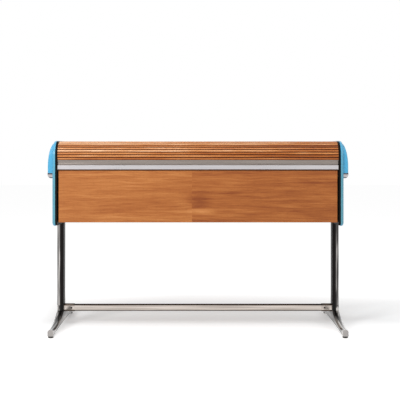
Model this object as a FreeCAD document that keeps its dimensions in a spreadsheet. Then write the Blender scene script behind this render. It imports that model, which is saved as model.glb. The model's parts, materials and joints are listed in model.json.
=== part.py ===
import FreeCAD, Part
import Sketcher
import math
import os

# Tambour desk on two cast legs, in millimetres.
# +Z is up, -Y is the front, and the origin is on the floor midway between the two legs.

SIZES = [
    ("inner_half", 773, "middle of the desk to the inner face of a track plate"),
    ("track_wall", 12, "thickness of a track plate"),
    ("end_wall", 16, "thickness of an end panel"),
    ("front_reach", 300, "front face of the case, ahead of the legs"),
    ("rear_reach", 370, "rear face of the case, behind the legs"),
    ("end_base", 470, "the end panels reach this far below their top"),
    ("case_base", 449, "the case reaches this far below the end panels' top"),
    ("desk_top", 1073, "height of the top of the end panels"),
    ("end_lip", 4, "end panels stand this far ahead of the case"),
    ("end_nose", 80, "corner radius of the end panels at the top, front"),
    ("end_heel", 24, "corner radius of the end panels at the top, rear"),
    ("end_toe", 24, "corner radius of the end panels at the bottom"),
    ("end_round", 12, "rounding of the end panels' outer edges"),
    ("track_inset", 3, "track plates lie this far inside the end panel's outline"),
    ("hood_bulge", 27, "the hood stands this far out of the end panel"),
    ("hood_rise", 176, "height of the hood above its polished foot"),
    ("hood_belly", 34, "height of the straight part at the foot of the hood"),
    ("hood_base", 206, "the hood's polished foot reaches this far below the end panels' top"),
    ("hood_foot", 28, "height of the hood's polished foot"),
    ("hood_inset", 13, "the hood's outline lies this far inside the end panel's"),
    ("hood_edge", 7, "rounding of the hood's front and rear edges"),
    ("hood_round", 19, "rounding under the hood's polished foot"),
    ("surface_top", 134, "the work surface lies this far below the end panels' top"),
    ("surface_wall", 24, "thickness of the work surface"),
    ("surface_depth", 262, "depth of the work surface behind its front edge trim"),
    ("trim_depth", 18, "depth of the front edge trim"),
    ("panel_wall", 18, "thickness of the walnut boards"),
    ("panel_gap", 7, "shadow gap beside and above the front panel"),
    ("board_gap", 0.5, "clearance between a board and a track plate"),
    ("floor_wall", 12, "thickness of the case floor and the bin dividers"),
    ("rail_depth", 48, "height of the rail under the front of the work surface"),
    ("divider_drop", 60, "bin dividers stop this far below the work surface"),
    ("divider_pitch", 386, "distance between bin dividers"),
    ("top_wall", 18, "thickness of the fixed rear top"),
    ("top_drop", 18, "the rear top lies this far below the end panels' top, under the open tambour"),
    ("top_front", 5, "front edge of the rear top, behind the legs"),
    ("ease", 1.2, "bevel of the boards' edges"),
    ("nose_radius", 70, "radius of the canvas on the tambour's nose"),
    ("nose_behind", 79, "centre of the nose, behind the front face of the case"),
    ("nose_drop", 82, "centre of the nose, below the top of the end panels"),
    ("slat_step", 10.8, "turn from one slat to the next on the nose, in degrees"),
    ("slat_wall", 9, "thickness of a slat"),
    ("slat_gap", 0.6, "gap between two slats laid flat"),
    ("canvas_wall", 0.8, "thickness of the canvas"),
    ("slat_round", 2.4, "rounding of a slat's outer edges"),
    ("end_play", 0.5, "gap between a slat's end and the track plate"),
    ("tongue_wall", 4, "thickness of a slat's tongue"),
    ("tongue_reach", 6, "length of a slat's tongue"),
    ("track_play", 0.3, "clearance all round a tongue in its track"),
    ("tail_stop", 10, "the track ends this far ahead of the rear face"),
    ("rail_height", 27.5, "height of the pull rail"),
    ("rail_wall", 12, "thickness of the pull rail"),
    ("rail_lip", 5, "width of the lips beside the finger groove"),
    ("rail_grip", 16, "radius of the finger groove in the pull rail"),
    ("leg_width", 40, "width of a leg, seen from the front"),
    ("leg_depth", 64, "depth of a leg, seen from the side"),
    ("leg_round", 18, "rounding of a leg's outer edges"),
    ("leg_edge", 4, "rounding of a leg's inner edges"),
    ("leg_inset", 5, "inner face of a leg, inside the end panel's inner face"),
    ("foot_reach", 370, "tip of a foot, from the middle of the leg"),
    ("foot_hub", 120, "height of the foot casting at the leg"),
    ("foot_shoulder", 90, "height at which the arms of a foot leave its hub"),
    ("foot_tip", 36, "height of the foot casting at its tip, above the pad"),
    ("foot_arch", 16, "height of the arch under the foot, above the pads"),
    ("foot_sweep", 700, "radius of the sweep along the top of a foot"),
    ("foot_narrow", 5, "a foot's tip is narrower than the leg by this on each side"),
    ("foot_bevel", 8, "bevel of a foot's long upper edges"),
    ("pad_height", 12, "height of a foot pad"),
    ("pad_radius", 15, "radius of a foot pad"),
    ("pad_inset", 18, "middle of a foot pad, in from the tip"),
    ("bar_height", 42, "height of the footrest bar's section"),
    ("bar_depth", 26, "depth of the footrest bar's section"),
    ("bar_bow", 9, "rise of the rounded top and bottom of the bar"),
    ("bar_level", 103, "height of the middle of the footrest bar"),
    ("ferrule_wall", 2.5, "wall of a footrest ferrule"),
    ("ferrule_length", 60, "length of a footrest ferrule"),
    ("bolt_radius", 7, "radius of a leg bolt's head"),
    ("bolt_head", 4, "height of a leg bolt's head"),
    ("bolt_pitch", 90, "distance between the two rows of leg bolts"),
]
NOSE_SLATS = 10
TRACK_SWEEP = 122
TOP_SLATS = 19
DIVIDERS = 3

doc = FreeCAD.newDocument("TambourDesk")
sheet = doc.addObject("Spreadsheet::Sheet", "Sizes")


class Size:
    """A length with its value and the expression that gives it."""

    def __init__(self, value, text):
        self.value = value
        self.text = text

    def join(self, sign, other, swap=False):
        other = other if isinstance(other, Size) else Size(other, repr(other))
        first, second = (other, self) if swap else (self, other)
        results = {"+": first.value + second.value, "-": first.value - second.value,
                   "*": first.value * second.value}
        return Size(results[sign], f"({first.text} {sign} {second.text})")

    def __add__(self, other):
        return self.join("+", other)

    def __radd__(self, other):
        return self.join("+", other, swap=True)

    def __sub__(self, other):
        return self.join("-", other)

    def __rsub__(self, other):
        return self.join("-", other, swap=True)

    def __mul__(self, other):
        return self.join("*", other)

    __rmul__ = __mul__

    def __neg__(self):
        return self.join("*", -1.0)


def fill_sheet():
    """Write every driving size into the sheet and return them by name."""
    named = {}
    for row, (alias, value, note) in enumerate(SIZES, start=1):
        sheet.set(f"A{row}", alias)
        sheet.set(f"B{row}", str(value))
        sheet.set(f"C{row}", note)
        sheet.setAlias(f"B{row}", alias)
        named[alias] = Size(value, f"Sizes.{alias}")
    doc.recompute()
    return named


def as_size(number):
    return number if isinstance(number, Size) else Size(number, repr(number))


def bind(item, path, length):
    item.setExpression(path, as_size(length).text)


def place(item, x=0.0, y=0.0, z=0.0):
    for axis, length in zip("xyz", (x, y, z)):
        bind(item, f"Placement.Base.{axis}", length)


def block(name, x, y, z):
    """A plain block from its lower and upper limits on each axis."""
    item = doc.addObject("Part::Box", name)
    for side, (low, high) in zip(("Length", "Width", "Height"), (x, y, z)):
        bind(item, side, as_size(high) - low)
    place(item, x[0], y[0], z[0])
    return item


def named(item, label):
    item.Label = label
    subparts.append(item)
    return item


def board(label, x, y, z):
    """A board with all its edges bevelled."""
    blank = block(label + "_blank", x, y, z)
    doc.recompute()
    eased = doc.addObject("Part::Chamfer", label + "_eased")
    eased.Base = blank
    bevel = size["ease"].value
    eased.Edges = [(number, bevel, bevel) for number in range(1, 13)]
    return named(eased, label)


def mirrored(item, label):
    """The same piece on the other side of the desk."""
    twin = doc.addObject("Part::Mirroring", label + "_mirror")
    twin.Source = item
    twin.Normal = (1, 0, 0)
    return named(twin, label)


def outline(body, name, role, points, arcs=None):
    """A closed sketch through points; arcs gives radius and side of the segments that are round."""
    arcs = arcs or {}
    sketch = body.newObject("Sketcher::SketchObject", name)
    planes = [plane for plane in body.Origin.OriginFeatures if plane.Role == role]
    sketch.AttachmentSupport = [(planes[0], "")]
    sketch.MapMode = "FlatFace"
    corners = [FreeCAD.Vector(as_size(u).value, as_size(v).value, 0) for u, v in points]
    count = len(points)
    for index, start in enumerate(corners):
        end = corners[(index + 1) % count]
        if index in arcs:
            sketch.addGeometry(Part.Arc(start, arc_middle(start, end, *arcs[index]), end), False)
        else:
            sketch.addGeometry(Part.LineSegment(start, end), False)
    starts, ends = arc_ends(sketch, corners)
    for index in range(count):
        follower = (index + 1) % count
        meeting = Sketcher.Constraint("Coincident", index, ends[index], follower, starts[follower])
        sketch.addConstraint(meeting)
    for index, (u, v) in enumerate(points):
        for kind, length in (("DistanceX", u), ("DistanceY", v)):
            length = as_size(length)
            distance = Sketcher.Constraint(kind, -1, 1, index, starts[index], length.value)
            number = sketch.addConstraint(distance)
            sketch.setExpression(f"Constraints[{number}]", length.text)
    for index, (radius, side) in arcs.items():
        number = sketch.addConstraint(Sketcher.Constraint("Radius", index, as_size(radius).value))
        sketch.setExpression(f"Constraints[{number}]", as_size(radius).text)
    return sketch


def arc_middle(start, end, radius, side):
    """The point halfway along an arc that swells to the left (side 1) or right (side -1) of its chord."""
    radius = as_size(radius).value
    chord = end - start
    rise = radius - math.sqrt(radius ** 2 - (chord.Length / 2) ** 2)
    left = FreeCAD.Vector(-chord.y, chord.x, 0).normalize()
    return (start + end) * 0.5 + left * (rise * side)


def arc_ends(sketch, corners):
    """Which end of each segment is its start: arcs always run anticlockwise."""
    starts = []
    for index, corner in enumerate(corners):
        first = sketch.getPoint(index, 1)
        starts.append(1 if first.distanceToPoint(corner) < 1e-6 else 2)
    return starts, [3 - start for start in starts]


def pad(body, sketch, length, middle=False):
    item = body.newObject("PartDesign::Pad", sketch.Name + "_pad")
    item.Profile = sketch
    bind(item, "Length", length)
    item.Midplane = middle
    doc.recompute()
    return item


def pocket(body, sketch, length, middle=False, reverse=False):
    item = body.newObject("PartDesign::Pocket", sketch.Name + "_pocket")
    item.Profile = sketch
    bind(item, "Length", length)
    item.Midplane = middle
    item.Reversed = reverse
    doc.recompute()
    return item


def chosen_edges(shape, chosen):
    """Names of the edges of a shape for which chosen(edge) is true."""
    return [f"Edge{number}" for number, edge in enumerate(shape.Edges, start=1) if chosen(edge)]


def round_edges(body, feature, chosen, radius):
    item = body.newObject("PartDesign::Fillet", feature.Name + "_round")
    item.Base = (feature, chosen_edges(feature.Shape, chosen))
    bind(item, "Radius", radius)
    doc.recompute()
    return item


def bevel_edges(body, feature, chosen, width):
    item = body.newObject("PartDesign::Chamfer", feature.Name + "_bevel")
    item.Base = (feature, chosen_edges(feature.Shape, chosen))
    bind(item, "Size", width)
    doc.recompute()
    return item


def along_x(y, z):
    """True for an edge along X that passes through this place in the side view."""
    spot = (as_size(y).value, as_size(z).value)

    def chosen(edge):
        places = [(vertex.Y, vertex.Z) for vertex in edge.Vertexes]
        return all(math.dist(place_, spot) < 0.01 for place_ in places) and edge.Length > 1
    return chosen


size = fill_sheet()
subparts = []

# Places that several pieces share.
plate_face = size["inner_half"] + size["track_wall"]
end_face = plate_face + size["end_wall"]
end_base = size["desk_top"] - size["end_base"]
hood_base = size["desk_top"] - size["hood_base"]
hood_low = hood_base + size["hood_foot"]
case_front = -size["front_reach"]
case_rear = size["rear_reach"]
panel_back = case_front + size["panel_wall"]
rear_face = case_rear - size["panel_wall"]
case_base = size["desk_top"] - size["case_base"]
floor_top = case_base + size["floor_wall"]
surface_top = size["desk_top"] - size["surface_top"]
surface_low = surface_top - size["surface_wall"]
surface_front = case_front + size["trim_depth"]
surface_rear = surface_front + size["surface_depth"]
top_high = size["desk_top"] - size["top_drop"]
top_low = top_high - size["top_wall"]
nose_y = case_front + size["nose_behind"]
nose_z = size["desk_top"] - size["nose_drop"]
canvas_z = nose_z + size["nose_radius"]
slat_middle = size["nose_radius"] + 0.5 * size["slat_wall"]
track_half = 0.5 * size["tongue_wall"] + size["track_play"]
leg_face = plate_face - size["leg_inset"]
leg_middle = leg_face + 0.5 * size["leg_width"]
board_half = size["inner_half"] - size["board_gap"]
half_turn = math.radians(size["slat_step"].value / 2)
slat_pitch = Size(2 * size["nose_radius"].value * math.sin(half_turn),
                  "(2 * Sizes.nose_radius * sin(Sizes.slat_step * 0.5 deg))")


def bow_radius(half, rise):
    """Radius of an arc from half its span and its rise."""
    text = f"((({half.text}) ^ 2 + ({rise.text}) ^ 2) / (2 * {rise.text}))"
    return Size((half.value ** 2 + rise.value ** 2) / (2 * rise.value), text)


def side_plate(name, inset, thickness):
    """A plate with the side outline of the desk, drawn in by inset, from x = 0 outwards."""
    body = doc.addObject("PartDesign::Body", name)
    front = case_front - size["end_lip"] + inset
    rear = case_rear - inset
    low = end_base + inset
    high = size["desk_top"] - inset
    corners = [(front, low), (rear, low), (rear, high), (front, high)]
    shape = pad(body, outline(body, name + "_outline", "YZ_Plane", corners), thickness)
    radii = [size["end_toe"], size["end_toe"], size["end_heel"], size["end_nose"]]
    for corner, radius in zip(corners, radii):
        shape = round_edges(body, shape, along_x(*corner), as_size(radius) - inset)
    return body


def end_panels():
    panel = side_plate("end_plate", as_size(0.0), size["end_wall"])
    wall = size["end_wall"].value
    round_edges(panel, panel.Tip, lambda edge: abs(edge.BoundBox.XMin - wall) < 0.01, size["end_round"])
    place(panel, x=plate_face)
    named(panel, "end_panel_right")
    mirrored(panel, "end_panel_left")


def ring_sector(name, radius):
    """A round slice that starts over the nose's centre and turns forwards and down."""
    item = doc.addObject("Part::Cylinder", name)
    bind(item, "Radius", radius)
    bind(item, "Height", size["tongue_reach"])
    item.Angle = TRACK_SWEEP
    up, forward, out = FreeCAD.Vector(0, 0, 1), FreeCAD.Vector(0, -1, 0), FreeCAD.Vector(1, 0, 0)
    item.Placement.Rotation = FreeCAD.Rotation(up, forward, out)
    place(item, size["inner_half"], nose_y, nose_z)
    return item


def boolean(kind, name, base, tool):
    item = doc.addObject("Part::" + kind, name)
    item.Base = base
    item.Tool = tool
    return item


def track_plates():
    """Black plates with the groove that the tambour's tongues run in."""
    plate = side_plate("track_blank", size["track_inset"], size["track_wall"])
    place(plate, x=size["inner_half"])
    middle = nose_z + slat_middle
    run = block("track_run", (size["inner_half"], size["inner_half"] + size["tongue_reach"]),
                (nose_y, case_rear - size["tail_stop"]), (middle - track_half, middle + track_half))
    outer = ring_sector("track_outer", slat_middle + track_half)
    inner = ring_sector("track_inner", slat_middle - track_half)
    bend = boolean("Cut", "track_bend", outer, inner)
    straight = boolean("Cut", "track_straight", plate, run)
    grooved = boolean("Cut", "track_grooved", straight, bend)
    named(grooved, "track_plate_right")
    mirrored(grooved, "track_plate_left")


def hoods():
    """Swelling hoods outside the end panels, each on a polished foot."""
    profile = doc.addObject("PartDesign::Body", "hood_profile")
    belly = hood_low + size["hood_belly"]
    crown = hood_low + size["hood_rise"]
    points = [(0.0, hood_low), (size["hood_bulge"], hood_low), (size["hood_bulge"], belly), (0.0, crown)]
    swell = bow_radius(crown - belly, size["hood_bulge"])
    sketch = outline(profile, "hood_section", "XZ_Plane", points, {2: (swell, -1)})
    pad(profile, sketch, size["front_reach"] + size["end_lip"] + size["rear_reach"])
    place(profile, x=end_face, y=case_rear)
    prism = side_plate("hood_outline", size["hood_inset"], size["hood_bulge"])
    place(prism, x=end_face)
    trimmed = boolean("Common", "hood_trimmed", profile, prism)
    doc.recompute()
    hood = doc.addObject("Part::Fillet", "hood_rounded")
    hood.Base = trimmed
    edge_round = size["hood_edge"].value
    hood.Edges = [(number, edge_round, edge_round)
                  for number, edge in enumerate(trimmed.Shape.Edges, start=1)
                  if edge.BoundBox.XMax > end_face.value + edge_round and edge.BoundBox.YLength < edge_round
                  and edge.BoundBox.ZLength > edge_round]
    named(hood, "end_hood_right")
    mirrored(hood, "end_hood_left")
    foot = doc.addObject("PartDesign::Body", "hood_foot_body")
    front = case_front - size["end_lip"] + size["hood_inset"]
    rear = case_rear - size["hood_inset"]
    corners = [(0.0, front), (size["hood_bulge"], front), (size["hood_bulge"], rear), (0.0, rear)]
    shape = pad(foot, outline(foot, "hood_foot_plan", "XY_Plane", corners), size["hood_foot"])
    outer = size["hood_bulge"].value
    shape = round_edges(foot, shape, lambda edge: abs(edge.CenterOfMass.x - outer) < 0.01
                        and edge.CenterOfMass.z < 0.01, size["hood_round"])
    place(foot, x=end_face, z=hood_base)
    named(foot, "hood_foot_right")
    mirrored(foot, "hood_foot_left")


def slat_body(name, half_length):
    """One slat: flat on the canvas, rounded outside, running forwards from its hinge line at the origin."""
    body = doc.addObject("PartDesign::Body", name)
    near = -0.5 * size["slat_gap"]
    far = near - slat_pitch + size["slat_gap"]
    corners = [(far, 0.0), (near, 0.0), (near, size["slat_wall"]), (far, size["slat_wall"])]
    shape = pad(body, outline(body, name + "_section", "YZ_Plane", corners), 2 * half_length, middle=True)
    for corner in corners[2:]:
        shape = round_edges(body, shape, along_x(*corner), size["slat_round"])
    return body, shape


def nose_hinges():
    """Hinge lines of the canvas down the nose, from the flat run to the pull rail, as (y, z)."""
    radius = size["nose_radius"].value
    places = []
    for index in range(NOSE_SLATS + 1):
        turn = math.radians(90 - index * size["slat_step"].value)
        places.append((nose_y.value - radius * math.cos(turn), nose_z.value + radius * math.sin(turn)))
    return places


def tilt(item, spot, degrees):
    """Hang a piece from its hinge line, tipped down at the front."""
    turn = FreeCAD.Rotation(FreeCAD.Vector(1, 0, 0), degrees)
    item.Placement = FreeCAD.Placement(FreeCAD.Vector(0, *spot), turn)


def nose_slats():
    """Slats over the rounded front of the tambour, each one hinged to the one above by the canvas."""
    half_length = size["inner_half"] - size["end_play"]
    for index, spot in enumerate(nose_hinges()[:NOSE_SLATS]):
        body, _ = slat_body(f"nose_slat_body_{index + 1}", half_length)
        tilt(body, spot, (index + 0.5) * size["slat_step"].value)
        named(body, f"nose_slat_{index + 1}")


def top_slats():
    """Slats of the flat run, whose tongues carry the tambour in the two tracks."""
    half_length = size["inner_half"] - size["end_play"]
    body, shape = slat_body("top_slat_body", half_length)
    near = -size["slat_gap"]
    far = near - slat_pitch + 2 * size["slat_gap"]
    low = 0.5 * (size["slat_wall"] - size["tongue_wall"])
    high = low + size["tongue_wall"]
    tongue_length = 2 * (half_length + size["tongue_reach"])
    corners = [(far, low), (near, low), (near, high), (far, high)]
    pad(body, outline(body, "tongue_section", "YZ_Plane", corners), tongue_length, middle=True)
    body.Placement = FreeCAD.Placement()
    place(body, y=nose_y, z=canvas_z)
    row = doc.addObject("Part::Feature", "top_slat_row")
    doc.recompute()
    solids = []
    for index in range(TOP_SLATS):
        solid = body.Shape.copy()
        solid.translate(FreeCAD.Vector(0, (index + 1) * slat_pitch.value, 0))
        solids.append(solid)
    row.Shape = Part.makeCompound(solids)
    named(row, "tambour_top_slats")


def canvas():
    """Cloth glued under the flat run of slats."""
    half_length = size["inner_half"] - size["end_play"]
    sheet_end = nose_y + TOP_SLATS * slat_pitch
    item = block("canvas_strip", (-half_length, half_length), (nose_y, sheet_end),
                 (canvas_z - size["canvas_wall"], canvas_z))
    named(item, "tambour_canvas")


def pull_rail():
    """Leading edge of the tambour, with a finger groove along its outer face."""
    body = doc.addObject("PartDesign::Body", "pull_rail_body")
    half_length = size["inner_half"] - size["end_play"]
    near = -0.5 * size["slat_gap"]
    far = -size["rail_height"]
    lip = size["rail_lip"]
    wall = size["rail_wall"]
    points = [(far, 0.0), (near, 0.0), (near, size["slat_wall"]), (near - lip, size["slat_wall"]),
              (far + lip, wall), (far, wall)]
    section = outline(body, "pull_rail_section", "YZ_Plane", points, {3: (size["rail_grip"], 1)})
    pad(body, section, 2 * half_length, middle=True)
    tilt(body, nose_hinges()[-1], NOSE_SLATS * size["slat_step"].value)
    named(body, "pull_rail")


def case_boards():
    """Walnut case between the track plates, with the work surface and the bin behind it."""
    across = (-board_half, board_half)
    panel_half = size["inner_half"] - size["panel_gap"]
    panel_high = surface_low - size["panel_gap"]
    board("front_panel", (-panel_half, panel_half), (case_front, panel_back),
          (case_base, panel_high))
    board("case_floor", across, (panel_back, rear_face), (case_base, floor_top))
    board("rear_panel", across, (rear_face, case_rear), (case_base, top_low))
    board("rear_top", across, (size["top_front"], case_rear), (top_low, top_high))
    board("work_surface", across, (surface_front, surface_rear), (surface_low, surface_top))
    board("front_edge_trim", across, (case_front, surface_front), (surface_low, surface_top))
    wall_front = surface_rear - size["floor_wall"]
    board("bin_wall", across, (wall_front, surface_rear), (floor_top, surface_low))
    board("front_rail", across, (panel_back, panel_back + size["floor_wall"]),
          (surface_low - size["rail_depth"], surface_low))
    for index in range(DIVIDERS):
        middle = (index - (DIVIDERS - 1) / 2) * size["divider_pitch"]
        half = 0.5 * size["floor_wall"]
        board(f"bin_divider_{index + 1}", (middle - half, middle + half), (surface_rear, rear_face),
              (floor_top, surface_top - size["divider_drop"]))


def leg_block(name, inner, outer, height):
    """A length of leg between two of its faces, with the leg's own upright edges rounded."""
    body = doc.addObject("PartDesign::Body", name)
    half = 0.5 * size["leg_depth"]
    corners = [(inner, -half), (outer, -half), (outer, half), (inner, half)]
    shape = pad(body, outline(body, name + "_plan", "XY_Plane", corners), height)
    for face, radius in ((as_size(0.0), size["leg_edge"]), (size["leg_width"], size["leg_round"])):
        if face.value in (inner.value, outer.value):
            shape = round_edges(body, shape, lambda edge: abs(edge.CenterOfMass.x - face.value) < 0.01
                                and abs(edge.BoundBox.ZLength - height.value) < 0.01, radius)
    return body


def legs():
    """Dark uprights that carry the end panels, each with a polished cover that laps up outside the panel."""
    lap = end_face - leg_face
    covers = leg_block("leg_cover_body", lap, size["leg_width"], hood_base - size["foot_hub"])
    uprights = leg_block("leg_upright_body", as_size(0.0), lap, end_base - size["foot_hub"])
    for body, label in ((covers, "leg_cover"), (uprights, "leg_upright")):
        place(body, x=leg_face, z=size["foot_hub"])
        named(body, label + "_right")
        mirrored(body, label + "_left")


def feet():
    """Foot castings that sweep down from the leg to a pad at each end."""
    body = doc.addObject("PartDesign::Body", "foot_body")
    half = 0.5 * size["leg_depth"]
    tip = size["foot_reach"]
    arch_end = tip - 2 * size["pad_inset"]
    low = size["pad_height"]
    high = low + size["foot_tip"]
    shoulder = size["foot_shoulder"]
    points = [(-tip, low), (-arch_end, low), (arch_end, low), (tip, low), (tip, high), (half, shoulder),
              (-half, shoulder), (-tip, high)]
    arcs = {1: (bow_radius(arch_end, size["foot_arch"]), 1), 4: (size["foot_sweep"], 1),
            6: (size["foot_sweep"], 1)}
    shape = pad(body, outline(body, "foot_side", "YZ_Plane", points, arcs), size["leg_width"])
    for side, edge, inwards in (("inner", as_size(0.0), 1), ("outer", size["leg_width"], -1)):
        for end, sign in (("front", -1), ("rear", 1)):
            narrowed = edge + inwards * size["foot_narrow"]
            wedge = [(edge, sign * half), (edge, sign * tip), (narrowed, sign * tip)]
            plan = outline(body, f"foot_taper_{side}_{end}", "XY_Plane", wedge)
            shape = pocket(body, plan, size["foot_hub"], reverse=True)
    bevel_edges(body, shape, lambda edge: edge.Length > tip.value / 2
                and edge.CenterOfMass.z > high.value, size["foot_bevel"])
    place(body, x=leg_face)
    boss = leg_block("foot_boss", as_size(0.0), size["leg_width"], size["foot_hub"] - shoulder)
    place(boss, x=leg_face, z=shoulder)
    casting = boolean("Fuse", "foot_casting", body, boss)
    named(casting, "foot_right")
    mirrored(casting, "foot_left")


def foot_pads():
    for end, sign in (("front", -1), ("rear", 1)):
        item = doc.addObject("Part::Cylinder", f"pad_{end}")
        bind(item, "Radius", size["pad_radius"])
        bind(item, "Height", size["pad_height"])
        place(item, leg_middle, sign * (size["foot_reach"] - size["pad_inset"]))
        doc.recompute()
        named(item, f"foot_pad_{end}_right")
        mirrored(item, f"foot_pad_{end}_left")


def oval(body, name, grow):
    """The footrest bar's section as a closed outline with bowed ends, grown by a wall."""
    half_y = 0.5 * size["bar_depth"] + grow
    half_z = 0.5 * size["bar_height"] - size["bar_bow"]
    points = [(-half_y, -half_z), (half_y, -half_z), (half_y, half_z), (-half_y, half_z)]
    bow = bow_radius(half_y, size["bar_bow"] + grow)
    return outline(body, name, "YZ_Plane", points, {0: (bow, -1), 2: (bow, -1)})


def footrest():
    """Bar between the legs, in a polished ferrule at each end."""
    bar = doc.addObject("PartDesign::Body", "footrest_body")
    pad(bar, oval(bar, "footrest_section", as_size(0.0)), 2 * leg_face, middle=True)
    place(bar, z=size["bar_level"])
    named(bar, "footrest_bar")
    ferrule = doc.addObject("PartDesign::Body", "ferrule_body")
    pad(ferrule, oval(ferrule, "ferrule_outside", size["ferrule_wall"]), size["ferrule_length"])
    pocket(ferrule, oval(ferrule, "ferrule_inside", as_size(0.0)), 2 * size["ferrule_length"], middle=True)
    place(ferrule, x=leg_face - size["ferrule_length"], z=size["bar_level"])
    named(ferrule, "footrest_ferrule_right")
    mirrored(ferrule, "footrest_ferrule_left")


def leg_bolts():
    """Round bolt heads on the outside of a leg, where it laps the end panel."""
    middle = 0.5 * (end_base + hood_base)
    heads = []
    for row in (-0.5, 0.5):
        item = doc.addObject("Part::Cylinder", "leg_bolt")
        bind(item, "Radius", size["bolt_radius"])
        bind(item, "Height", size["bolt_head"])
        item.Placement.Rotation = FreeCAD.Rotation(FreeCAD.Vector(0, 1, 0), 90)
        place(item, leg_face + size["leg_width"], 0.0, middle + row * size["bolt_pitch"])
        heads.append(item)
    group = doc.addObject("Part::Compound", "leg_bolt_pair")
    group.Links = heads
    named(group, "leg_bolts_right")
    mirrored(group, "leg_bolts_left")


def build():
    for step in (end_panels, track_plates, hoods, case_boards, top_slats, canvas, nose_slats, pull_rail,
                 legs, feet, foot_pads, footrest, leg_bolts):
        step()
    doc.recompute()


def check():
    """Stop before anything is written if an object failed or a piece is not a sound solid."""
    for item in doc.Objects:
        if "Invalid" in item.State or "Error" in item.State:
            raise RuntimeError(f"{item.Label} failed: {item.State}")
    for item in subparts:
        if item.Shape.isNull() or not item.Shape.isValid() or not item.Shape.Solids:
            raise RuntimeError(f"{item.Label} is not a sound solid")


def write():
    os.makedirs("parts", exist_ok=True)
    for item in subparts:
        item.Shape.exportStep(f"parts/{item.Label}.step")
    print(f"{len(subparts)} sub-parts written")


build()
check()
write()
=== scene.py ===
# %% [markdown]
# # A tambour desk, dressed
# The desk stands on two cast legs, and a curtain of walnut slats closes its front and slides back over the
# top. The desk's solids come ready at their real size and place, so this lesson gives them their finishes,
# adds the small fittings that are too fine for the solids, and sets up the camera and the light.

# %% Load the desk
import json
import math

import bpy
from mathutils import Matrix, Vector


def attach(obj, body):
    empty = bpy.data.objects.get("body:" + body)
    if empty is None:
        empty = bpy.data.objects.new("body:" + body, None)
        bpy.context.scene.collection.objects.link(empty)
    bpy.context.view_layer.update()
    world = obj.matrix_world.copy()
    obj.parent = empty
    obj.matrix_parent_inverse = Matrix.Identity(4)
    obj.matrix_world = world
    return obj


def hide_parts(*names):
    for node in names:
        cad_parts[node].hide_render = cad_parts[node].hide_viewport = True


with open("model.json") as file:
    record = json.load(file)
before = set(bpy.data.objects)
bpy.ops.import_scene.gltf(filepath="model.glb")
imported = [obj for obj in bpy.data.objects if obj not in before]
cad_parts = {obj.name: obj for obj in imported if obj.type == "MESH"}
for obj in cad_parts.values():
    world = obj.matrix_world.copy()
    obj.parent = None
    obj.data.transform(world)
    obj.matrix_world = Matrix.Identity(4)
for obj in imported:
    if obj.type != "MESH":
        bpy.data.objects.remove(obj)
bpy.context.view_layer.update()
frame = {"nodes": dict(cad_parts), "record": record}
nodes = frame["nodes"]
bpy.ops.object.select_all(action="DESELECT")
print("solids loaded:", len(nodes))

# %% [markdown]
# ## Helpers for node trees
# Every finish is a small tree of shader nodes. Each link could be written out by itself, but that is slow
# to read. These helpers do the repeated part: they add a node and fill its inputs, or open a material or a
# node group with its first nodes ready.

# %% Adding nodes


def fill(tree, socket, value):
    """Link a node's output to this socket, or write a plain value into it."""
    if isinstance(value, bpy.types.NodeSocket):
        tree.links.new(value, socket)
    else:
        socket.default_value = value


def add_node(tree, kind, settings=None, **inputs):
    """Add a node. Settings are its properties, and inputs are values or sockets to link."""
    node = tree.nodes.new(kind)
    for name, value in (settings or {}).items():
        setattr(node, name, value)
    for name, value in inputs.items():
        fill(tree, node.inputs[name.replace("_", " ")], value)
    return node


def new_material(name, **shader_values):
    """Open a material and return it with its tree, its main shader and the object coordinates."""
    material = bpy.data.materials.new(name)
    material.use_nodes = True
    tree = material.node_tree
    shader = tree.nodes["Principled BSDF"]
    for socket, value in shader_values.items():
        shader.inputs[socket.replace("_", " ")].default_value = value
    place = add_node(tree, "ShaderNodeTexCoord").outputs["Object"]
    return material, tree, shader, place


def new_group(name, inputs, outputs):
    """Open a node group with named sockets and return it with its input node and its output node."""
    group = bpy.data.node_groups.new(name, "ShaderNodeTree")
    for socket, kind in inputs.items():
        group.interface.new_socket(socket, in_out="INPUT", socket_type=kind)
    for socket, kind in outputs.items():
        group.interface.new_socket(socket, in_out="OUTPUT", socket_type=kind)
    return group, group.nodes.new("NodeGroupInput"), group.nodes.new("NodeGroupOutput")


def use_group(tree, group, **inputs):
    """Place a group in a tree, with its inputs filled."""
    return add_node(tree, "ShaderNodeGroup", {"node_tree": group}, **inputs)


print("helpers that add nodes are ready")

# %% [markdown]
# ## Values and colours
# A finish is mostly sums: noise that is pulled out along a board, a range carried to another range, a
# colour picked from a ramp. Each of these is one node, and a helper with a short name makes the sums
# readable.

# %% Sums, ramps and bumps


def axes_of(tree, place):
    """The X, Y and Z of a place."""
    return add_node(tree, "ShaderNodeSeparateXYZ", Vector=place).outputs


def stretched_noise(tree, place, stretch, detail=4.0, roughness=0.55):
    """Noise pulled out along an axis: stretch is how often it repeats per metre along x, y and z."""
    mapped = add_node(tree, "ShaderNodeMapping", Vector=place, Scale=stretch)
    noise = add_node(tree, "ShaderNodeTexNoise", Vector=mapped.outputs["Vector"], Scale=1.0,
                     Detail=detail, Roughness=roughness)
    return noise.outputs["Fac"]


def arithmetic(tree, operation, first, second=0.0):
    """One sum of one or two values or sockets."""
    node = add_node(tree, "ShaderNodeMath", {"operation": operation})
    fill(tree, node.inputs[0], first)
    fill(tree, node.inputs[1], second)
    return node.outputs["Value"]


def remap(tree, value, low, high, to_low, to_high):
    """Carry a value from one range to another, held at both ends."""
    node = add_node(tree, "ShaderNodeMapRange", Value=value, From_Min=low, From_Max=high,
                    To_Min=to_low, To_Max=to_high)
    return node.outputs["Result"]


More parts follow.
